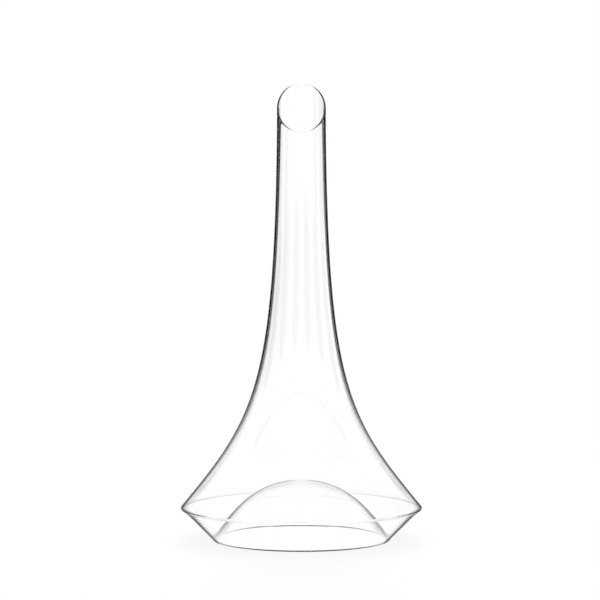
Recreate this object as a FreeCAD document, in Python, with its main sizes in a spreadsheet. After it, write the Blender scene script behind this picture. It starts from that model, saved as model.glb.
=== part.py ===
import FreeCAD, Part
import math
import os
import Sketcher

# A clear glass decanter, blown in one piece, in millimetres. It stands on z = 0 with its axis on Z.
# The body is a low cone that turns at a sharp shoulder into one long curve up to a slim neck. The
# base is pushed up into a dome, and the mouth is cut on a slant with its low lip towards -Y.

# Driving sizes: name, value, meaning. Angles are in degrees.
SIZES = (
    ("height", 350.0, "foot to the top of the mouth's high lip"),
    ("shoulderradius", 93.2, "outside radius at the sharp shoulder"),
    ("shoulderheight", 24.5, "height of the shoulder above the foot"),
    ("lowerlean", 44.8, "lean of the lower wall from upright"),
    ("shoulderlean", 39.4, "lean of the long wall from upright where it leaves the shoulder"),
    ("shoulderpull", 92.9, "how far the wall keeps to that lean: handle of the curve"),
    ("neckfoot", 116.6, "height where the pull of the upright neck on the curve begins"),
    ("neckradius", 18.6, "outside radius of the neck"),
    ("moil", 11.0, "glass above the mouth that is sawn off"),
    ("wall", 1.5, "glass at the shoulder and in the lower wall"),
    ("neckwall", 1.8, "glass in the neck"),
    ("foldglass", 1.85, "height of the inside corner above the foot, before it is rounded"),
    ("footwidth", 2.7, "width of the standing ring before its edges are rounded"),
    ("puntrise", 43.5, "height of the dome's underside at the axis"),
    ("puntwall", 1.8, "glass at the top of the dome"),
    ("puntlean", 50.0, "slope of the dome where it leaves the foot"),
    ("puntfoot", 14.8, "handle of the dome's curve at the foot"),
    ("puntcrown", 41.2, "handle of the dome's curve at the top"),
    ("mouthlean", 45.0, "slope of the sawn mouth"),
    ("rimround", 0.8, "fire-polished rounding of the mouth's two edges"),
    ("shoulderround", 1.0, "outside rounding of the shoulder"),
    ("shoulderinside", 2.0, "inside rounding of the shoulder"),
    ("footround", 1.8, "outside rounding of the foot"),
    ("footinside", 1.6, "rounding from the foot into the dome"),
    ("valleyround", 4.0, "inside rounding between lower wall and dome"),
)

POINT_TOLERANCE = 0.01

# The sketcher's own numbers for places on a line or curve, and for the sketch's axes
START, END, CENTRE = range(1, 4)
ORIGIN = -1
UPRIGHT_AXIS = -2

doc = FreeCAD.newDocument("Decanter")
sheet = doc.addObject("Spreadsheet::Sheet", "Sizes")
for row, (alias, value, meaning) in enumerate(SIZES, start=1):
    sheet.set("A%d" % row, meaning)
    sheet.set("B%d" % row, str(value))
    sheet.setAlias("B%d" % row, alias)
doc.recompute()


def size(alias):
    """Value of one cell of the sheet."""
    return float(sheet.get(alias))


def slope(alias):
    """Value of one angle cell, in radians."""
    return math.radians(size(alias))


def point(x, y):
    """Point in a sketch."""
    return FreeCAD.Vector(x, y, 0)


body = doc.addObject("PartDesign::Body", "Decanter")
body.Label = "decanter"


def new_sketch(name, role):
    """Sketch on one of the body's own origin planes."""
    sketch = body.newObject("Sketcher::SketchObject", name)
    plane = next(item for item in body.Origin.OriginFeatures if item.Role == role)
    sketch.AttachmentSupport = [(plane, "")]
    sketch.MapMode = "FlatFace"
    return sketch


def drive(sketch, name, expression, kind, *place):
    """Adds a named dimension and binds it to the sheet."""
    index = sketch.addConstraint(Sketcher.Constraint(kind, *place))
    sketch.renameConstraint(index, name)
    sketch.setExpression("Constraints." + name, expression)


def tie(sketch, kind, *place):
    """Adds a constraint that has no size."""
    sketch.addConstraint(Sketcher.Constraint(kind, *place))


def add_lines(sketch, points):
    """Adds straight lines from point to point, joined at their ends, and returns their numbers."""
    lines = []
    for first, second in zip(points, points[1:]):
        line = sketch.addGeometry(Part.LineSegment(first, second), False)
        if lines:
            tie(sketch, "Coincident", lines[-1], END, line, START)
        lines.append(line)
    return lines


def add_curve(sketch, poles):
    """Adds a curve of four poles with its two handles as construction lines.

    Returns the curve's number and the numbers of the handles at its start and at its end.
    """
    curve = Part.BSplineCurve()
    curve.buildFromPoles(poles, False, 3)
    number = sketch.addGeometry(curve, False)
    sketch.exposeInternalGeometry(number)
    handles = []
    for end, pole in ((START, 1), (END, 2)):
        corner = poles[0] if end == START else poles[3]
        handle = sketch.addGeometry(Part.LineSegment(corner, poles[pole]), True)
        tie(sketch, "Coincident", handle, START, number, end)
        tie(sketch, "Coincident", handle, END, number + 1 + pole, CENTRE)
        handles.append(handle)
    return number, handles[0], handles[1]


def drive_start(sketch, geometry, place, radius, height):
    """Places a wall's curve at its shoulder corner, by distance from the axis and by height."""
    drive(sketch, "ShoulderRadius", radius, "DistanceX", ORIGIN, START, geometry, START, place.x)
    drive(sketch, "ShoulderHeight", height, "DistanceY", ORIGIN, START, geometry, START, place.y)


def drive_end(sketch, geometry, place, radius, height):
    """Places a wall's curve at the top of the neck, by distance from the axis and by height."""
    drive(sketch, "NeckRadius", radius, "DistanceX", ORIGIN, START, geometry, END, place.x)
    drive(sketch, "NeckHeight", height, "DistanceY", ORIGIN, START, geometry, END, place.y)


def drive_wall_curve(sketch, shoulder_handle, neck_handle):
    """Gives a wall's curve its lean and pull at the shoulder and its upright end at the neck."""
    lean = math.radians(90.0) + slope("shoulderlean")
    pull = size("shoulderpull")
    pole = size("neckfoot")
    drive(sketch, "ShoulderLean", "90deg + Sizes.shoulderlean * 1deg", "Angle", shoulder_handle, lean)
    drive(sketch, "ShoulderPull", "Sizes.shoulderpull", "Distance", shoulder_handle, pull)
    tie(sketch, "Vertical", neck_handle)
    drive(sketch, "NeckFoot", "Sizes.neckfoot", "DistanceY", ORIGIN, START, neck_handle, END, pole)


def drive_dome_curve(sketch, foot_handle, crown_handle):
    """Gives a dome's curve its slope and pull at the foot and its level end at the axis."""
    foot_angle = math.radians(180.0) - slope("puntlean")
    drive(sketch, "FootSlope", "180deg - Sizes.puntlean * 1deg", "Angle", foot_handle, foot_angle)
    drive(sketch, "FootPull", "Sizes.puntfoot", "Distance", foot_handle, size("puntfoot"))
    tie(sketch, "Horizontal", crown_handle)
    drive(sketch, "CrownPull", "Sizes.puntcrown", "Distance", crown_handle, size("puntcrown"))


def wall_poles(corner, neck_x, neck_top):
    """Poles of a wall's curve from its shoulder corner up to the neck."""
    pull = size("shoulderpull")
    lean = slope("shoulderlean")
    leaving = point(corner.x - pull * math.sin(lean), corner.y + pull * math.cos(lean))
    return [corner, leaving, point(neck_x, size("neckfoot")), point(neck_x, neck_top)]


def dome_poles(corner, crown):
    """Poles of a dome's curve from its foot corner up to the axis."""
    pull = size("puntfoot")
    lean = slope("puntlean")
    leaving = point(corner.x - pull * math.cos(lean), corner.y + pull * math.sin(lean))
    return [corner, leaving, point(size("puntcrown"), crown), point(0, crown)]


def add_feature(kind, name, sketch):
    """Revolves or cuts the sketch all the way round the axis."""
    feature = body.newObject(kind, name)
    feature.Profile = sketch
    feature.ReferenceAxis = (sketch, ["V_Axis"])
    feature.Angle = 360.0
    doc.recompute()
    return feature


# Places that several sketches share
shoulder = point(size("shoulderradius"), size("shoulderheight"))
lower_angle = math.radians(90.0) - slope("lowerlean")
base_corner_x = shoulder.x - shoulder.y * math.tan(slope("lowerlean"))
neck_top = size("height") + size("moil")

SHOULDER_LEAN = "(Sizes.shoulderlean * 1deg)"
LOWER_LEAN = "(Sizes.lowerlean * 1deg)"
NECK_TOP = "Sizes.height + Sizes.moil"
BASE_CORNER = "Sizes.shoulderradius - Sizes.shoulderheight * tan" + LOWER_LEAN

# The closed bubble: lower wall, shoulder, long wall, and a cap of spare glass over the neck
outside = new_sketch("OutsideProfile", "XZ_Plane")
cap_top = neck_top + size("neckwall")
poles = wall_poles(shoulder, size("neckradius"), neck_top)
curve, shoulder_handle, neck_handle = add_curve(outside, poles)
foot_line, lower_line = add_lines(outside, [point(0, 0), point(base_corner_x, 0), shoulder])
cap_points = [poles[3], point(size("neckradius"), cap_top), point(0, cap_top), point(0, 0)]
cap_side, cap_line, axis_line = add_lines(outside, cap_points)
tie(outside, "Coincident", foot_line, START, ORIGIN, START)
tie(outside, "Horizontal", foot_line)
tie(outside, "Coincident", lower_line, END, curve, START)
tie(outside, "Coincident", cap_side, START, curve, END)
tie(outside, "Vertical", cap_side)
tie(outside, "Horizontal", cap_line)
tie(outside, "PointOnObject", axis_line, START, UPRIGHT_AXIS)
tie(outside, "Coincident", axis_line, END, ORIGIN, START)
drive_start(outside, curve, poles[0], "Sizes.shoulderradius", "Sizes.shoulderheight")
drive_end(outside, curve, poles[3], "Sizes.neckradius", NECK_TOP)
drive_wall_curve(outside, shoulder_handle, neck_handle)
drive(outside, "LowerLean", "90deg - " + LOWER_LEAN, "Angle", lower_line, lower_angle)
drive(outside, "CapGlass", "Sizes.neckwall", "Distance", cap_side, size("neckwall"))
bubble = add_feature("PartDesign::Revolution", "Bubble", outside)
bubble_volume = body.Shape.Volume

# The room inside: it keeps the glass's thickness from the outside and goes over the dome
inside = new_sketch("InsideProfile", "XZ_Plane")
over_lean = slope("shoulderlean")
under_lean = slope("lowerlean")
wall_share = size("wall") / math.sin(over_lean + under_lean)
in_x = shoulder.x - wall_share * (math.sin(over_lean) + math.sin(under_lean))
in_z = shoulder.y + wall_share * (math.cos(over_lean) - math.cos(under_lean))
WALL_SHARE = "Sizes.wall / sin(" + SHOULDER_LEAN + " + " + LOWER_LEAN + ")"
SINES = "(sin" + SHOULDER_LEAN + " + sin" + LOWER_LEAN + ")"
COSINES = "(cos" + SHOULDER_LEAN + " - cos" + LOWER_LEAN + ")"
IN_RADIUS = "Sizes.shoulderradius - " + WALL_SHARE + " * " + SINES
IN_HEIGHT = "Sizes.shoulderheight + " + WALL_SHARE + " * " + COSINES
inner_neck = size("neckradius") - size("neckwall")
valley = point(in_x - (in_z - size("foldglass")) * math.tan(slope("lowerlean")), size("foldglass"))
dome_top = size("puntrise") + size("puntwall")
wall_line_poles = wall_poles(point(in_x, in_z), inner_neck, neck_top)
inner_curve, shoulder_handle, neck_handle = add_curve(inside, wall_line_poles)
dome_curve, foot_handle, crown_handle = add_curve(inside, dome_poles(valley, dome_top))
inner_lower = add_lines(inside, [valley, point(in_x, in_z)])[0]
inner_cap_points = [point(inner_neck, neck_top), point(0, neck_top), point(0, dome_top)]
inner_cap, inner_axis = add_lines(inside, inner_cap_points)
tie(inside, "Coincident", inner_lower, START, dome_curve, START)
tie(inside, "Coincident", inner_lower, END, inner_curve, START)
tie(inside, "Coincident", inner_cap, START, inner_curve, END)
tie(inside, "Horizontal", inner_cap)
tie(inside, "PointOnObject", inner_axis, START, UPRIGHT_AXIS)
tie(inside, "PointOnObject", inner_axis, END, UPRIGHT_AXIS)
tie(inside, "Coincident", inner_axis, END, dome_curve, END)
drive_start(inside, inner_curve, wall_line_poles[0], IN_RADIUS, IN_HEIGHT)
drive_end(inside, inner_curve, wall_line_poles[3], "Sizes.neckradius - Sizes.neckwall", NECK_TOP)
drive_wall_curve(inside, shoulder_handle, neck_handle)
drive_dome_curve(inside, foot_handle, crown_handle)
drive(inside, "LowerLean", "90deg - " + LOWER_LEAN, "Angle", inner_lower, lower_angle)
drive(inside, "FoldGlass", "Sizes.foldglass", "DistanceY", ORIGIN, START, inner_lower, START, valley.y)
DOME_TOP = "Sizes.puntrise + Sizes.puntwall"
drive(inside, "DomeTop", DOME_TOP, "DistanceY", ORIGIN, START, dome_curve, END, dome_top)
room = add_feature("PartDesign::Groove", "Room", inside)
room_volume = bubble_volume - body.Shape.Volume

# The hollow under the dome, where the base is pushed up
under = new_sketch("UndersideProfile", "XZ_Plane")
foot_inner_x = base_corner_x - size("footwidth")
under_poles = dome_poles(point(foot_inner_x, 0), size("puntrise"))
under_curve, foot_handle, crown_handle = add_curve(under, under_poles)
under_line = add_lines(under, [point(0, 0), point(foot_inner_x, 0)])[0]
under_axis = add_lines(under, [point(0, size("puntrise")), point(0, 0)])[0]
tie(under, "Coincident", under_line, START, ORIGIN, START)
tie(under, "Horizontal", under_line)
tie(under, "Coincident", under_line, END, under_curve, START)
tie(under, "Coincident", under_axis, START, under_curve, END)
tie(under, "Coincident", under_axis, END, ORIGIN, START)
tie(under, "Vertical", under_axis)
drive(under, "FootInner", BASE_CORNER + " - Sizes.footwidth", "Distance", under_line, foot_inner_x)
drive(under, "PuntRise", "Sizes.puntrise", "Distance", under_axis, size("puntrise"))
drive_dome_curve(under, foot_handle, crown_handle)
before_punt = body.Shape.Volume
punt = add_feature("PartDesign::Groove", "Punt", under)
punt_volume = before_punt - body.Shape.Volume

# The mouth: all above a slanted plane is sawn off, and the rounded high lip ends at the full height
mouth_slope = slope("mouthlean")
rim_round = min(size("rimround"), 0.45 * size("neckwall"))
rim_lift = rim_round / math.cos(mouth_slope) - rim_round
neck_inset = size("neckradius") - rim_round
mouth_axis = size("height") + rim_lift - neck_inset * math.tan(mouth_slope)
RIM_ROUND = "min(Sizes.rimround; 0.45 * Sizes.neckwall)"
MOUTH_LEAN = "(Sizes.mouthlean * 1deg)"
MOUTH_AXIS = (
    "Sizes.height - {rim} + {rim} / cos{lean} - (Sizes.neckradius - {rim}) * tan{lean}"
).format(rim=RIM_ROUND, lean=MOUTH_LEAN)
mouth = new_sketch("MouthProfile", "YZ_Plane")
reach = 2.0 * size("neckradius")
low = point(-reach, mouth_axis - reach * math.tan(mouth_slope))
high = point(reach, mouth_axis + reach * math.tan(mouth_slope))
over = cap_top + reach
saw_points = [low, high, point(reach, over), point(-reach, over), low]
cut_line, high_side, over_line, low_side = add_lines(mouth, saw_points)
tie(mouth, "Coincident", low_side, END, cut_line, START)
tie(mouth, "Vertical", high_side)
tie(mouth, "Horizontal", over_line)
tie(mouth, "Vertical", low_side)
middle = mouth.addGeometry(Part.Point(point(0, mouth_axis)), True)
tie(mouth, "PointOnObject", middle, START, UPRIGHT_AXIS)
tie(mouth, "PointOnObject", middle, START, cut_line)
drive(mouth, "MouthAxis", MOUTH_AXIS, "DistanceY", ORIGIN, START, middle, START, mouth_axis)
drive(mouth, "MouthLean", MOUTH_LEAN, "Angle", cut_line, mouth_slope)
drive(mouth, "LowReach", "2 * Sizes.neckradius", "DistanceX", cut_line, START, middle, START, reach)
drive(mouth, "HighReach", "2 * Sizes.neckradius", "DistanceX", middle, START, cut_line, END, reach)
OVER_TOP = NECK_TOP + " + Sizes.neckwall + 2 * Sizes.neckradius"
drive(mouth, "OverTop", OVER_TOP, "DistanceY", ORIGIN, START, over_line, START, over)
before_mouth = body.Shape.Volume
saw = body.newObject("PartDesign::Pocket", "Mouth")
saw.Profile = mouth
saw.Type = "Length"
saw.SideType = "Symmetric"
saw.Length = 2.0 * reach
saw.setExpression("Length", "4 * Sizes.neckradius")
doc.recompute()
mouth_volume = before_mouth - body.Shape.Volume


def ring_edges(radius, z):
    """Names of the round edges of this radius at this height."""
    names = []
    for number, edge in enumerate(body.Shape.Edges, start=1):
        if edge.Degenerated or not isinstance(edge.Curve, Part.Circle):
            continue
        curve = edge.Curve
        right_radius = abs(curve.Radius - radius) < POINT_TOLERANCE
        if right_radius and abs(curve.Center.z - z) < POINT_TOLERANCE:
            names.append("Edge%d" % number)
    return names


def mouth_edges():
    """Names of the edges that lie in the mouth's slanted plane."""
    names = []
    for number, edge in enumerate(body.Shape.Edges, start=1):
        if edge.Degenerated:
            continue
        first, last = edge.ParameterRange
        places = [edge.valueAt(first + (last - first) * share) for share in (0.0, 0.3, 0.7, 1.0)]
        heights = [place.z - mouth_axis - place.y * math.tan(mouth_slope) for place in places]
        if max(abs(height) for height in heights) < POINT_TOLERANCE:
            names.append("Edge%d" % number)
    return names


def round_edges(name, edges, radius, expression):
    """Rounds the named edges of the body as it is now."""
    if not edges:
        raise RuntimeError("no edge found for " + name)
    base = body.Tip
    feature = body.newObject("PartDesign::Fillet", name)
    feature.Base = (base, edges)
    feature.Radius = radius
    feature.setExpression("Radius", expression)
    doc.recompute()
    return feature


# Rounded corners of softened glass
FOOT_ROUND = "min(Sizes.footround; 0.9 * Sizes.footwidth)"
FOOT_INSIDE = "min(Sizes.footinside; 0.9 * Sizes.footwidth)"
foot_round = min(size("footround"), 0.9 * size("footwidth"))
foot_inside = min(size("footinside"), 0.9 * size("footwidth"))
shoulder_ring = ring_edges(shoulder.x, shoulder.y)
round_edges("ShoulderOutside", shoulder_ring, size("shoulderround"), "Sizes.shoulderround")
round_edges("ShoulderInside", ring_edges(in_x, in_z), size("shoulderinside"), "Sizes.shoulderinside")
round_edges("Valley", ring_edges(valley.x, valley.y), size("valleyround"), "Sizes.valleyround")
round_edges("FootOutside", ring_edges(base_corner_x, 0.0), foot_round, FOOT_ROUND)
round_edges("FootInside", ring_edges(foot_inner_x, 0.0), foot_inside, FOOT_INSIDE)
round_edges("Rim", mouth_edges(), rim_round, RIM_ROUND)

# Every feature must have worked, and every cut must have taken glass away
for item in doc.Objects:
    if "Invalid" in item.State or "Error" in item.State:
        raise RuntimeError("%s failed: %s" % (item.Name, item.State))
for sketch in (outside, inside, under, mouth):
    if not sketch.FullyConstrained:
        raise RuntimeError("%s is not fully constrained" % sketch.Name)
for name, volume in (("Room", room_volume), ("Punt", punt_volume), ("Mouth", mouth_volume)):
    if volume <= 0.0:
        raise RuntimeError("%s cut nothing" % name)
shape = body.Shape
if shape.isNull() or not shape.isValid() or len(shape.Solids) != 1:
    raise RuntimeError("the decanter is not one valid solid")

print("glass volume %.1f cm3" % (shape.Volume / 1000.0))

os.makedirs("parts", exist_ok=True)
shape.exportStep(os.path.join("parts", body.Label + ".step"))
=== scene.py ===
import math

import bpy
import numpy as np
from bpy.props import FloatProperty, IntProperty, PointerProperty, StringProperty
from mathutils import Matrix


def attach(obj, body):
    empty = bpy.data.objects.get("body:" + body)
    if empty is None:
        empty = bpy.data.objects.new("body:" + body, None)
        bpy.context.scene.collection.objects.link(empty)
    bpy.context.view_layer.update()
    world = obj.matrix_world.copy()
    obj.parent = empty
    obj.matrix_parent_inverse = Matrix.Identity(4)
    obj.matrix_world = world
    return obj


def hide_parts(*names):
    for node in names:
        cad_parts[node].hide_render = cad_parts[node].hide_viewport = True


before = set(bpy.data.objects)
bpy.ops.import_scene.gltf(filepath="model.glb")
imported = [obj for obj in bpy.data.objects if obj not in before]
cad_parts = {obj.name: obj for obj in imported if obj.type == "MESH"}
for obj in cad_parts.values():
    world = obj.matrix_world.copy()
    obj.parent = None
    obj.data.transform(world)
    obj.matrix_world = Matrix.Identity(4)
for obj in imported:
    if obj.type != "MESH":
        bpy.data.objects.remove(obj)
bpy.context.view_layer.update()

bl_info = {
    "name": "Blown Glass Decanter",
    "version": (1, 0, 0),
    "blender": (4, 5, 0),
    "location": "3D View > Sidebar > Decanter",
    "description": "Clear decanter with a sharp shoulder, a pushed-up base and a slanted mouth",
    "category": "Object",
}

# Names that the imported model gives
BODY = "root"
NODE = "decanter"


# Sizes and colours that a user would change


def length(name, description, default):
    """A length in metres, shown in the scene's units."""
    return FloatProperty(
        name=name, description=description, default=default, min=0.0, precision=5, unit="LENGTH",
    )


def angle(name, description, degrees):
    """An angle, kept in radians and shown in degrees."""
    return FloatProperty(
        name=name, description=description, default=math.radians(degrees), subtype="ANGLE",
    )


def colour(name, description, default):
    """A colour as six sRGB hex digits."""
    return StringProperty(name=name, description=description, default=default, maxlen=7)


class GlassSizes(bpy.types.PropertyGroup):
    """Sizes of the blown vessel"""

    # Outside, only the lip is finer than the solid's. Inside, the glass of the neck and of the fold is
    # thinner and the corners are sharper, as the edge lines in the photograph ask

    height: length("Height", "Foot to the top of the mouth's high lip", 0.35)
    shoulder_radius: length("Shoulder radius", "Outside radius at the sharp shoulder", 0.0932)
    shoulder_height: length("Shoulder height", "Height of the shoulder above the foot", 0.0245)
    lower_lean: angle("Lower lean", "Lean of the lower wall from upright", 44.8)
    shoulder_lean: angle("Shoulder lean", "Lean of the long wall where it leaves the shoulder", 39.4)
    shoulder_pull: length("Shoulder pull", "How far the wall keeps to that lean", 0.0929)
    neck_foot: length("Neck foot", "Height where the pull of the upright neck begins", 0.1166)
    neck_radius: length("Neck radius", "Outside radius of the neck", 0.0186)
    moil: length("Moil", "Glass above the mouth that is sawn off", 0.011)
    wall: length("Wall", "Glass at the shoulder and in the lower wall", 0.0015)
    neck_wall: length("Neck wall", "Glass in the neck", 0.0013)
    fold_glass: length("Fold glass", "Height of the inside corner above the foot", 0.0012)
    foot_width: length("Foot width", "Width of the standing ring", 0.0027)
    punt_rise: length("Punt rise", "Height of the dome's underside at the axis", 0.0435)
    punt_wall: length("Punt wall", "Glass at the top of the dome", 0.0018)
    punt_lean: angle("Punt lean", "Slope of the dome where it leaves the foot", 50.0)
    punt_foot: length("Punt foot", "Handle of the dome's curve at the foot", 0.0148)
    punt_crown: length("Punt crown", "Handle of the dome's curve at the top", 0.0412)
    mouth_lean: angle("Mouth lean", "Slope of the sawn mouth", 45.0)
    rim_round: length("Rim round", "Fire-polished rounding of the mouth's edges", 0.0008)
    shoulder_round: length("Shoulder round", "Outside rounding of the shoulder", 0.001)
    shoulder_inside: length("Shoulder inside", "Inside rounding of the shoulder", 0.0008)
    foot_round: length("Foot round", "Outside rounding of the foot", 0.0018)
    foot_inside: length("Foot inside", "Rounding from the foot into the dome", 0.0016)
    valley_round: length("Valley round", "Inside rounding between lower wall and dome", 0.0012)
    columns: IntProperty(name="Columns", description="Faces round the axis", default=224, min=32)


class GlassFinish(bpy.types.PropertyGroup):
    """Finish of the clear glass"""

    tint: colour("Tint", "Colour of the glass", "FFFFFF")
    bending: FloatProperty(name="Index", description="Refractive index", default=1.5, min=1.0)
    waves: length("Waves", "Spacing of the faint waves that blowing leaves", 0.035)


class StageSizes(bpy.types.PropertyGroup):
    """Floor, light and camera"""

    floor_colour: colour("Floor", "Paper of the floor", "E6E6E6")
    floor_radius: length("Floor radius", "Half the width of the paper", 0.9)
    camera_distance: length("Distance", "Camera to the point that it aims at", 2.7588)
    camera_aim: length("Aim height", "Height of the point that the camera aims at", 0.1845)
    camera_side: FloatProperty(
        name="Side step", description="Camera's place across the view", default=-0.00107, unit="LENGTH",
    )
    camera_elevation: angle("Elevation", "How far the camera looks down", 4.55)
    camera_lens: FloatProperty(
        name="Lens", description="Focal length in mm", default=216.0, unit="CAMERA",
    )


# Colour


def linear(digits):
    """Linear colour of six sRGB hex digits: each channel through the sRGB curve."""
    channels = np.array([int(digits[at:at + 2], 16) for at in (0, 2, 4)]) / 255.0
    curved = np.where(channels > 0.04045, ((channels + 0.055) / 1.055) ** 2.4, channels / 12.92)
    return (*curved.tolist(), 1.0)


# Curves of the profile, as points (distance from the axis, height)


class Curve:
    """Curve of two or four poles, run from the first pole to the last."""

    def __init__(self, poles):
        self.poles = np.array(poles, float)

    def place(self, at):
        """Weighted mean of the poles: (1-t), t for a line, and the cubic Bernstein weights for four."""
        at = np.asarray(at, float)[..., None]
        back = 1.0 - at
        p = self.poles
        if len(p) == 2:
            return back * p[0] + at * p[1]
        return back ** 3 * p[0] + 3 * back ** 2 * at * p[1] + 3 * back * at ** 2 * p[2] + at ** 3 * p[3]

    def left(self, at):
        """Unit normal to the left of the run: the tangent turned a quarter turn."""
        at = np.asarray(at, float)[..., None]
        back = 1.0 - at
        step = np.diff(self.poles, axis=0)
        if len(step) == 1:
            run = step[0] + 0.0 * at
        else:
            run = back ** 2 * step[0] + 2 * back * at * step[1] + at ** 2 * step[2]
        run = run / np.linalg.norm(run, axis=-1, keepdims=True)
        return np.stack([-run[..., 1], run[..., 0]], -1)

    def back(self):
        """The same curve, run the other way."""
        return Curve(self.poles[::-1])

    def rows(self, first, last, count):
        """Points from first to last, evenly spaced by length along the curve."""
        fine = np.linspace(first, last, LENGTH_SAMPLES)
        steps = np.linalg.norm(np.diff(self.place(fine), axis=0), axis=1)
        run = np.concatenate([[0.0], np.cumsum(steps)])
        return self.place(np.interp(np.linspace(0.0, run[-1], count), run, fine))

    def at_height(self, height, first, last):
        """Parameter where the curve reaches this height, between first and last."""
        fine = np.linspace(first, last, HEIGHT_SAMPLES)
        heights = self.place(fine)[:, 1]
        order = np.argsort(heights)
        return np.interp(height, heights[order], fine[order])


# Samples along a curve for its length and for its height
LENGTH_SAMPLES = 2000
HEIGHT_SAMPLES = 4000


def rolled(one, two, radius, side):
    """Circle that rolls into the corner where curve one meets curve two.

    Its centre is one radius from both, to the left of the run for side 1 and to the right for side
    -1. Newton's steps find the two places that it touches. Returns the parameter on one, the
    parameter on two, and the arc's points between them.
    """
    guess = np.array([1.0 - NUDGE, NUDGE])

    def gap(pair):
        """How far apart the centres are that the two curves ask for."""
        centre_one = one.place(pair[0]) + side * radius * one.left(pair[0])
        centre_two = two.place(pair[1]) + side * radius * two.left(pair[1])
        return centre_one - centre_two

    for _ in range(NEWTON_STEPS):
        now = gap(guess)
        matrix = np.stack([
            (gap(guess + [NUDGE, 0.0]) - now) / NUDGE,
            (gap(guess + [0.0, NUDGE]) - now) / NUDGE,
        ], -1)
        guess = guess - np.linalg.solve(matrix, now)
    centre = one.place(guess[0]) + side * radius * one.left(guess[0])
    start = one.place(guess[0]) - centre
    end = two.place(guess[1]) - centre
    turn = math.atan2(start[0] * end[1] - start[1] * end[0], start @ end)
    sweep = np.linspace(0.0, turn, ARC_ROWS + 2)[1:-1, None]
    crossed = np.array([-start[1], start[0]])
    return guess[0], guess[1], centre + np.cos(sweep) * start + np.sin(sweep) * crossed


# Rows in a rounding, Newton's steps, and the small change that measures the slopes for them
ARC_ROWS = 9
NEWTON_STEPS = 30
NUDGE = 1e-6


def wall_curve(corner, neck, s):
    """The long wall: leaves its shoulder corner at the shoulder's lean and ends upright in the neck."""
    lean = s.shoulder_lean
    leaving = (
        corner[0] - s.shoulder_pull * math.sin(lean),
        corner[1] + s.shoulder_pull * math.cos(lean),
    )
    return Curve([corner, leaving, (neck, s.neck_foot), (neck, s.height + s.moil)])


def dome_curve(corner, crown, s):
    """The dome: leaves its foot corner at the dome's slope and ends level on the axis."""
    lean = s.punt_lean
    leaving = (
        corner[0] - s.punt_foot * math.cos(lean),
        corner[1] + s.punt_foot * math.sin(lean),
    )
    return Curve([corner, leaving, (s.punt_crown, crown), (0.0, crown)])


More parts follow.
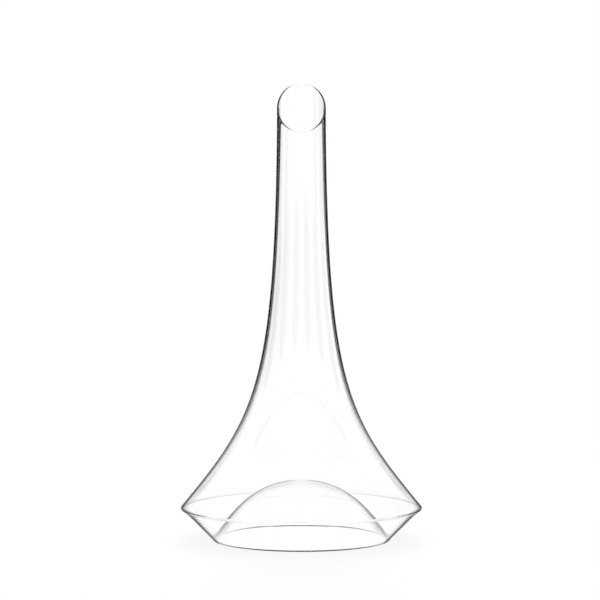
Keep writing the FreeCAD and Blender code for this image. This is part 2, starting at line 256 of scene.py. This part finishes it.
def glass_rows(s):
    """Rows of points of the glass surface, as one array of row, column and x, y, z.

    Each row is a ring round the axis: the profile's point (r, z) put at (r cos a, r sin a, z) for
    each column's angle a. The rows of the mouth differ from column to column, because a ball that
    rolls along the slanted cut makes the lip. The run starts at the dome's top inside, goes out to
    the valley, up the inside, over the lip, down the outside, round the foot and in under the dome,
    with the glass on its right.
    """
    shoulder = np.array([s.shoulder_radius, s.shoulder_height])
    base = shoulder[0] - shoulder[1] * math.tan(s.lower_lean)
    part = s.wall / math.sin(s.shoulder_lean + s.lower_lean)
    inner = np.array([
        shoulder[0] - part * (math.sin(s.shoulder_lean) + math.sin(s.lower_lean)),
        shoulder[1] + part * (math.cos(s.shoulder_lean) - math.cos(s.lower_lean)),
    ])
    valley = (inner[0] - (inner[1] - s.fold_glass) * math.tan(s.lower_lean), s.fold_glass)
    foot = (base - s.foot_width, 0.0)

    dome_in = dome_curve(valley, s.punt_rise + s.punt_wall, s).back()
    lower_in = Curve([valley, inner])
    wall_in = wall_curve(inner, s.neck_radius - s.neck_wall, s)
    wall_out = wall_curve(shoulder, s.neck_radius, s).back()
    lower_out = Curve([shoulder, (base, 0.0)])
    floor_line = Curve([(base, 0.0), foot])
    dome_out = dome_curve(foot, s.punt_rise, s)

    dome_in_end, lower_in_start, valley_arc = rolled(dome_in, lower_in, s.valley_round, 1)
    lower_in_end, wall_in_start, inner_arc = rolled(lower_in, wall_in, s.shoulder_inside, 1)
    wall_out_end, lower_out_start, outer_arc = rolled(wall_out, lower_out, s.shoulder_round, -1)
    lower_out_end, floor_start, foot_arc = rolled(lower_out, floor_line, s.foot_round, -1)
    floor_end, dome_out_start, punt_arc = rolled(floor_line, dome_out, s.foot_inside, -1)

    turn = np.linspace(0.0, 2.0 * math.pi, s.columns, endpoint=False)
    around = np.stack([np.cos(turn), np.sin(turn), 0.0 * turn], -1)
    upright = np.array([0.0, 0.0, 1.0])

    def rings(points):
        """Rings of plain rows: the same distance and height in every column."""
        return points[:, None, :1] * around[None] + points[:, None, 1:] * upright

    # The mouth's plane has height mouth + y tan(lean). The ball rolls along the outer edge and then
    # along the inner one, and touches the wall and the plane.
    slope = math.tan(s.mouth_lean)
    ball = min(s.rim_round, LIP_SHARE * s.neck_wall)
    drop = ball / math.cos(s.mouth_lean)
    mouth = s.height - ball + drop - (s.neck_radius - ball) * slope
    cut_normal = np.array([0.0, -math.sin(s.mouth_lean), math.cos(s.mouth_lean)])

    def ball_centres(wall, sign, first, last):
        """Ball's centres along one edge, and the wall's parameter and radius there, for each column."""
        radius = np.full(s.columns, s.neck_radius)
        for _ in range(BALL_STEPS):
            reach = radius - sign * ball
            height = mouth + reach * around[:, 1] * slope - drop
            at = wall.at_height(height, first, last)
            radius = wall.place(at)[:, 0]
        return reach[:, None] * around + height[:, None] * upright, at

    def lip(centres, begin, end):
        """Arc of the ball between two unit directions, turned evenly from one to the other."""
        between = np.arccos(np.clip((begin * end).sum(-1), -1.0, 1.0))[None, :, None]
        part = np.linspace(0.0, 1.0, ARC_ROWS)[:, None, None]
        mixed = np.sin((1.0 - part) * between) * begin + np.sin(part * between) * end
        return centres + ball * mixed / np.sin(between)

    flat_normal = np.broadcast_to(cut_normal, around.shape)
    in_centres, in_end = ball_centres(wall_in, -1.0, wall_in_start, 1.0)
    out_centres, out_start = ball_centres(wall_out, 1.0, 0.0, wall_out_end)
    lip_in = lip(in_centres, -around, flat_normal)
    lip_out = lip(out_centres, flat_normal, around)

    def wall_rows(wall, plain, mouth_at, flip):
        """Plain rows up to a level under the mouth, then rows that stretch to the mouth."""
        level = s.height - MOUTH_REACH * s.neck_radius
        at = float(wall.at_height(level, *plain))
        far = plain[1] if flip else plain[0]
        low = wall.rows(at, far, WALL_ROWS) if flip else wall.rows(far, at, WALL_ROWS)
        parts = np.linspace(0.0, 1.0, MOUTH_ROWS + 2)[1:-1, None]
        first, last = (mouth_at, at) if flip else (at, mouth_at)
        spread = wall.place(first + (last - first) * parts)
        top = spread[..., :1] * around[None] + spread[..., 1:] * upright
        return (top, rings(low)) if flip else (rings(low), top)

    inside_low, inside_top = wall_rows(wall_in, (wall_in_start, 1.0), in_end, False)
    outside_top, outside_low = wall_rows(wall_out, (0.0, wall_out_end), out_start, True)
    rows = [
        rings(dome_in.rows(0.0, dome_in_end, DOME_ROWS)[1:]),
        rings(valley_arc),
        rings(lower_in.rows(lower_in_start, lower_in_end, LOWER_ROWS)),
        rings(inner_arc),
        inside_low,
        inside_top,
        lip_in,
        lip_out,
        outside_top,
        outside_low,
        rings(outer_arc),
        rings(lower_out.rows(lower_out_start, lower_out_end, LOWER_ROWS)),
        rings(foot_arc),
        rings(floor_line.rows(floor_start, floor_end, 2)),
        rings(punt_arc),
        rings(dome_out.rows(dome_out_start, 1.0, DOME_ROWS)[:-1]),
    ]
    top = np.array([0.0, 0.0, s.punt_rise + s.punt_wall])
    bottom = np.array([0.0, 0.0, s.punt_rise])
    return np.concatenate(rows), top, bottom


# Rows along the long wall, below the mouth, along the dome and along the lower wall
WALL_ROWS = 96
MOUTH_ROWS = 16
DOME_ROWS = 44
LOWER_ROWS = 14
# The lip's ball has at most this share of the neck's glass as its radius, so that a flat stays
LIP_SHARE = 0.45
# Steps that settle the ball's place on the wall
BALL_STEPS = 4
# Where the rows that stretch to the slanted mouth begin, in neck radii below its high lip
MOUTH_REACH = 4.0


def mesh_from_rows(name, rows, first_pole=None, last_pole=None):
    """Mesh of a grid of rings: a quad between each pair of rows and columns, and a fan at each pole."""
    count, columns = rows.shape[:2]
    number = np.arange(count * columns).reshape(count, columns)
    after = np.roll(number, -1, axis=1)
    quads = np.stack([number[:-1], number[1:], after[1:], after[:-1]], -1).reshape(-1, 4)
    vertices = [rows.reshape(-1, 3)]
    fans = []
    if first_pole is not None:
        pole = np.full(columns, count * columns)
        fans.append(np.stack([pole, number[0], after[0]], -1))
        vertices.append(first_pole[None])
    if last_pole is not None:
        pole = np.full(columns, count * columns + len(fans))
        fans.append(np.stack([pole, after[-1], number[-1]], -1))
        vertices.append(last_pole[None])
    points = np.concatenate(vertices)
    triangles = np.concatenate(fans) if fans else np.zeros((0, 3), int)
    corners = np.concatenate([quads.ravel(), triangles.ravel()])
    totals = np.concatenate([np.full(len(quads), 4), np.full(len(triangles), 3)])
    starts = np.concatenate([[0], np.cumsum(totals)[:-1]])
    mesh = bpy.data.meshes.new(name)
    mesh.vertices.add(len(points))
    mesh.vertices.foreach_set("co", points.astype(np.float32).ravel())
    mesh.loops.add(len(corners))
    mesh.loops.foreach_set("vertex_index", corners.astype(np.int32))
    mesh.polygons.add(len(totals))
    mesh.polygons.foreach_set("loop_start", starts.astype(np.int32))
    mesh.polygons.foreach_set("use_smooth", np.ones(len(totals), bool))
    mesh.update(calc_edges=True)
    mesh.validate()
    return mesh


def show(name, mesh, material):
    """Object of this mesh at the origin, in the scene."""
    mesh.materials.append(material)
    thing = bpy.data.objects.new(name, mesh)
    bpy.context.scene.collection.objects.link(thing)
    return thing


# Materials


def node(tree, kind, settings=None, inputs=None, links=None):
    """Adds one node with its settings, its socket values, and its links from other nodes' sockets."""
    made = tree.nodes.new(kind)
    for key, value in (settings or {}).items():
        setattr(made, key, value)
    for key, value in (inputs or {}).items():
        made.inputs[key].default_value = value
    for key, socket in (links or {}).items():
        tree.links.new(socket, made.inputs[key])
    return made


def new_material(name):
    """Empty node material."""
    material = bpy.data.materials.new(name)
    material.use_nodes = True
    material.node_tree.nodes.clear()
    return material


def blown_glass(finish):
    """Clear soda-lime glass, blown and fire-polished: no grain, a mirror-smooth skin, and only the
    faint long waves that the blowing leaves, which the eye finds at the edges."""
    material = new_material("blown_clear_glass")
    tree = material.node_tree
    place = node(tree, "ShaderNodeTexCoord")
    waves = node(
        tree, "ShaderNodeTexNoise",
        inputs={"Scale": 1.0 / finish.waves, "Detail": WAVE_DETAIL, "Roughness": WAVE_ROUGHNESS},
        links={"Vector": place.outputs["Object"]},
    )
    bump = node(
        tree, "ShaderNodeBump",
        inputs={"Strength": 1.0, "Distance": WAVE_DEPTH},
        links={"Height": waves.outputs["Fac"]},
    )
    glass = node(
        tree, "ShaderNodeBsdfPrincipled",
        inputs={
            "Base Color": linear(finish.tint),
            "Roughness": 0.0,
            "IOR": finish.bending,
            "Transmission Weight": 1.0,
        },
        links={"Normal": bump.outputs["Normal"]},
    )
    node(tree, "ShaderNodeOutputMaterial", links={"Surface": glass.outputs["BSDF"]})
    return material


# Height of the glass's waves in metres, their finer layers and how much of each stays
WAVE_DEPTH = 0.00003
WAVE_DETAIL = 1.0
WAVE_ROUGHNESS = 0.3


def paper_floor(stage):
    """White studio paper, matt: lit by the room. The eye sees most of it as plain white, so that only a
    faint shadow stays, and it fades out towards its edge so that no rim of it is seen. What the glass
    bends or mirrors goes on to the room's white below, the same white as the paper."""
    material = new_material("studio_paper")
    tree = material.node_tree
    path = node(tree, "ShaderNodeLightPath")
    place = node(tree, "ShaderNodeTexCoord")
    fibres = node(
        tree, "ShaderNodeTexNoise",
        inputs={"Scale": FIBRES_PER_METRE, "Detail": FIBRE_DETAIL},
        links={"Vector": place.outputs["Object"]},
    )
    grain = node(
        tree, "ShaderNodeBump",
        inputs={"Strength": FIBRE_SHARE, "Distance": FIBRE_DEPTH},
        links={"Height": fibres.outputs["Fac"]},
    )
    paper = node(
        tree, "ShaderNodeBsdfDiffuse",
        inputs={"Color": linear(stage.floor_colour)},
        links={"Normal": grain.outputs["Normal"]},
    )
    white = node(tree, "ShaderNodeEmission", inputs={"Strength": FLOOR_WHITE})
    share = node(
        tree, "ShaderNodeMath", {"operation": "MULTIPLY"},
        inputs={1: FLOOR_LIFT}, links={0: path.outputs["Is Camera Ray"]},
    )
    lit = node(
        tree, "ShaderNodeMixShader",
        links={"Fac": share.outputs[0], 1: paper.outputs["BSDF"], 2: white.outputs["Emission"]},
    )
    reach = node(
        tree, "ShaderNodeVectorMath", {"operation": "LENGTH"},
        links={0: place.outputs["Object"]},
    )
    fade = node(
        tree, "ShaderNodeMapRange", {"interpolation_type": "SMOOTHSTEP"},
        inputs={"From Min": FLOOR_SOLID, "From Max": FLOOR_GONE},
        links={"Value": reach.outputs["Value"]},
    )
    mirrored = node(
        tree, "ShaderNodeMath", {"operation": "MAXIMUM"},
        links={0: path.outputs["Is Glossy Ray"], 1: path.outputs["Is Transmission Ray"]},
    )
    open_part = node(
        tree, "ShaderNodeMath", {"operation": "MAXIMUM"},
        links={0: fade.outputs["Result"], 1: mirrored.outputs[0]},
    )
    gone = node(tree, "ShaderNodeBsdfTransparent")
    mixed = node(
        tree, "ShaderNodeMixShader",
        links={"Fac": open_part.outputs[0], 1: lit.outputs["Shader"], 2: gone.outputs["BSDF"]},
    )
    node(tree, "ShaderNodeOutputMaterial", links={"Surface": mixed.outputs["Shader"]})
    return material


# Paper fibres in a metre, their finer layers, their height in metres and how much of it shows
FIBRES_PER_METRE = 1500.0
FIBRE_DETAIL = 2.0
FIBRE_DEPTH = 0.0001
FIBRE_SHARE = 0.1
# The eye's share of the paper's own white, its strength, and where the paper starts to fade and ends
FLOOR_LIFT = 0.9
FLOOR_WHITE = 0.99
FLOOR_SOLID = 0.15
FLOOR_GONE = 0.55


def studio_world():
    """White room: the eye sees plain white. What the glass bends or mirrors sees white light walls with
    black cards between them, and white above and below. There are four walls round the horizon and
    eight lower down, all round. The walls narrow to slits above the horizon, so that edges and rounded
    corners draw dark lines. Near the horizon the room is white on the camera's side, which the front
    of the glass only mirrors."""
    world = bpy.data.worlds.new("studio")
    bpy.context.scene.world = world
    world.use_nodes = True
    tree = world.node_tree
    tree.nodes.clear()
    path = node(tree, "ShaderNodeLightPath")
    place = node(tree, "ShaderNodeTexCoord")
    way = node(tree, "ShaderNodeSeparateXYZ", links={"Vector": place.outputs["Generated"]})
    bearing = node(
        tree, "ShaderNodeMath", {"operation": "ARCTAN2"},
        links={0: way.outputs["X"], 1: way.outputs["Y"]},
    )
    height = node(tree, "ShaderNodeMath", {"operation": "ARCSINE"}, links={0: way.outputs["Z"]})
    angles = []
    for walls in LIGHT_WALLS:
        angles.append(node(
            tree, "ShaderNodeMath", {"operation": "PINGPONG"},
            inputs={1: math.pi / walls}, links={0: bearing.outputs[0]},
        ))
    aside = node(
        tree, "ShaderNodeMapRange", {"interpolation_type": "SMOOTHSTEP"},
        inputs={"From Min": MORE_WALLS[0], "From Max": MORE_WALLS[1]},
        links={
            "Value": height.outputs[0],
            "To Min": angles[0].outputs[0],
            "To Max": angles[1].outputs[0],
        },
    )
    half = node(
        tree, "ShaderNodeMapRange", {"interpolation_type": "SMOOTHSTEP"},
        inputs={
            "From Min": NARROW[0], "From Max": NARROW[1], "To Min": WALL_HALF[0], "To Max": WALL_HALF[1],
        },
        links={"Value": height.outputs[0]},
    )
    past = node(
        tree, "ShaderNodeMath", {"operation": "SUBTRACT"},
        links={0: aside.outputs["Result"], 1: half.outputs["Result"]},
    )
    lowered = node(
        tree, "ShaderNodeMath", {"operation": "MULTIPLY_ADD"},
        inputs={1: CARD_DROP}, links={0: aside.outputs["Result"], 2: height.outputs[0]},
    )
    turned = node(
        tree, "ShaderNodeMath", {"operation": "SUBTRACT"},
        inputs={1: CARDS_MIDDLE}, links={0: bearing.outputs[0]},
    )
    facing = node(tree, "ShaderNodeMath", {"operation": "COSINE"}, links={0: turned.outputs[0]})
    parts = []
    for value, (wall_end, card_end) in (
        (past, CARD_EDGE),
        (lowered, CARD_FOOT),
        (height, CARD_TOP),
        (facing, CARDS_FACING),
        (height, CARDS_ROUND),
    ):
        parts.append(node(
            tree, "ShaderNodeMapRange", {"interpolation_type": "SMOOTHSTEP"},
            inputs={"From Min": wall_end, "From Max": card_end},
            links={"Value": value.outputs[0]},
        ).outputs["Result"])
    edge, foot, top, front, all_round = parts
    there = node(tree, "ShaderNodeMath", {"operation": "MAXIMUM"}, links={0: front, 1: all_round})
    card = there.outputs[0]
    for part in (edge, foot, top):
        card = node(
            tree, "ShaderNodeMath", {"operation": "MULTIPLY"}, links={0: card, 1: part},
        ).outputs[0]
    mirrored = node(
        tree, "ShaderNodeMath", {"operation": "MAXIMUM"},
        links={0: path.outputs["Is Glossy Ray"], 1: path.outputs["Is Transmission Ray"]},
    )
    dark = node(
        tree, "ShaderNodeMath", {"operation": "MULTIPLY"}, links={0: card, 1: mirrored.outputs[0]},
    )
    white = node(
        tree, "ShaderNodeMath", {"operation": "SUBTRACT"}, inputs={0: 1.0}, links={1: dark.outputs[0]},
    )
    back = node(
        tree, "ShaderNodeBackground",
        inputs={"Color": linear(ROOM_WHITE)}, links={"Strength": white.outputs[0]},
    )
    node(tree, "ShaderNodeOutputWorld", links={"Surface": back.outputs["Background"]})
    return world


def radians(*degrees):
    """Angles in radians."""
    return tuple(math.radians(each) for each in degrees)


# Colour of the room and of its light walls
ROOM_WHITE = "FFFFFF"
# Light walls round the horizon and lower down, and the heights between which one turns into the other
LIGHT_WALLS = (4, 8)
MORE_WALLS = radians(-2.3, -6.3)
# Half width of a wall below and above the horizon, and the heights between which it narrows
WALL_HALF = radians(11.5, 1.0)
NARROW = radians(-4.4, 3.8)
# Where a card turns from white to black: past the wall's edge, at its foot, and under its top. A
# card's foot hangs lower by this share of the angle from the wall's middle
CARD_EDGE = radians(-0.7, 0.7)
CARD_FOOT = radians(-16.0, -13.0)
CARD_DROP = 0.6
CARD_TOP = radians(16.5, -2.7)
# Near the horizon cards stand only round this bearing, out to where the cosine of the angle from it
# has fallen from the second value to the first, and below these heights they stand all round
CARDS_MIDDLE = math.radians(-31.0)
CARDS_FACING = tuple(math.cos(each) for each in radians(88.0, 76.0))
CARDS_ROUND = radians(-5.5, -8.5)


# Operators


class DECANTER_OT_vessel(bpy.types.Operator):
    """Make the blown glass vessel"""

    bl_idname = "decanter.vessel"
    bl_label = "Glass Vessel"
    bl_options = {"REGISTER", "UNDO"}

    def execute(self, context):
        scene = context.scene
        rows, top, bottom = glass_rows(scene.decanter_glass)
        mesh = mesh_from_rows("glass_vessel", rows, top, bottom)
        vessel = show("glass_vessel", mesh, blown_glass(scene.decanter_finish))
        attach(vessel, BODY)
        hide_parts(NODE)
        return {"FINISHED"}


class DECANTER_OT_stage(bpy.types.Operator):
    """Make the floor, the light and the camera"""

    bl_idname = "decanter.stage"
    bl_label = "Stage"
    bl_options = {"REGISTER", "UNDO"}

    def execute(self, context):
        stage = context.scene.decanter_stage
        turn = np.linspace(0.0, 2.0 * math.pi, FLOOR_COLUMNS, endpoint=False)
        circle = np.stack([np.cos(turn), -np.sin(turn), 0.0 * turn], -1)
        reach = np.linspace(0.0, stage.floor_radius, FLOOR_ROWS + 1)[1:]
        rows = reach[:, None, None] * circle[None]
        mesh = mesh_from_rows("floor", rows, np.zeros(3))
        floor = show("floor", mesh, paper_floor(stage))
        studio_world()
        add_lamp()
        add_camera(stage)
        view = context.scene.view_settings
        view.view_transform = "Standard"
        return {"FINISHED"}


# Faces round the paper, and from its middle to its edge
FLOOR_COLUMNS = 96
FLOOR_ROWS = 12


def add_lamp():
    """One soft lamp above and behind, aimed at the foot, so that the shadow falls to the front. The
    glass mirrors the white room only, not the lamp."""
    lamp = bpy.data.lights.new("soft_box", "AREA")
    lamp.shape = "DISK"
    lamp.size = LAMP_WIDTH
    lamp.energy = LAMP_POWER
    thing = bpy.data.objects.new("soft_box", lamp)
    thing.location = (0.0, LAMP_BACK, LAMP_HEIGHT)
    thing.rotation_euler = (-math.atan2(LAMP_BACK, LAMP_HEIGHT), 0.0, 0.0)
    thing.visible_glossy = False
    thing.visible_transmission = False
    bpy.context.scene.collection.objects.link(thing)


# The lamp's width, its power in watts, and its place behind and above the foot
LAMP_WIDTH = 0.7
LAMP_POWER = 18.0
LAMP_BACK = 1.1
LAMP_HEIGHT = 1.2


def add_camera(stage):
    """Camera at the photograph's angle, aimed at the axis from the low lip's side."""
    lens = bpy.data.cameras.new("camera")
    lens.lens = stage.camera_lens
    lens.sensor_width = SENSOR_WIDTH
    lens.clip_start, lens.clip_end = CLIP
    camera = bpy.data.objects.new("camera", lens)
    down = stage.camera_elevation
    camera.location = (
        stage.camera_side,
        -stage.camera_distance * math.cos(down),
        stage.camera_aim + stage.camera_distance * math.sin(down),
    )
    camera.rotation_euler = (math.pi / 2.0 - down, 0.0, 0.0)
    bpy.context.scene.collection.objects.link(camera)
    bpy.context.scene.camera = camera


# Width of the camera's sensor in millimetres, and how near and how far it sees in metres
SENSOR_WIDTH = 36.0
CLIP = (0.05, 20.0)


class DECANTER_PT_sidebar(bpy.types.Panel):
    """Sizes, finish and stage of the decanter"""

    bl_idname = "DECANTER_PT_sidebar"
    bl_label = "Decanter"
    bl_space_type = "VIEW_3D"
    bl_region_type = "UI"
    bl_category = "Decanter"

    def draw(self, context):
        layout = self.layout
        for title, group, operator in (
            ("Glass", context.scene.decanter_glass, "decanter.vessel"),
            ("Finish", context.scene.decanter_finish, None),
            ("Stage", context.scene.decanter_stage, "decanter.stage"),
        ):
            column = layout.column(align=True)
            column.label(text=title)
            for name in group.bl_rna.properties.keys():
                if name not in ("rna_type", "name"):
                    column.prop(group, name)
            if operator:
                column.operator(operator)


CLASSES = (
    GlassSizes,
    GlassFinish,
    StageSizes,
    DECANTER_OT_vessel,
    DECANTER_OT_stage,
    DECANTER_PT_sidebar,
)
GROUPS = (
    ("decanter_glass", GlassSizes),
    ("decanter_finish", GlassFinish),
    ("decanter_stage", StageSizes),
)


def register():
    """Adds the classes and puts the sizes on the scene."""
    for item in CLASSES:
        bpy.utils.register_class(item)
    for name, group in GROUPS:
        setattr(bpy.types.Scene, name, PointerProperty(type=group))


def unregister():
    """Takes the sizes and the classes away again."""
    for name, _ in GROUPS:
        delattr(bpy.types.Scene, name)
    for item in reversed(CLASSES):
        bpy.utils.unregister_class(item)


def main():
    """Makes the vessel and the stage."""
    register()
    bpy.ops.decanter.vessel()
    bpy.ops.decanter.stage()


if __name__ == "__main__":
    main()
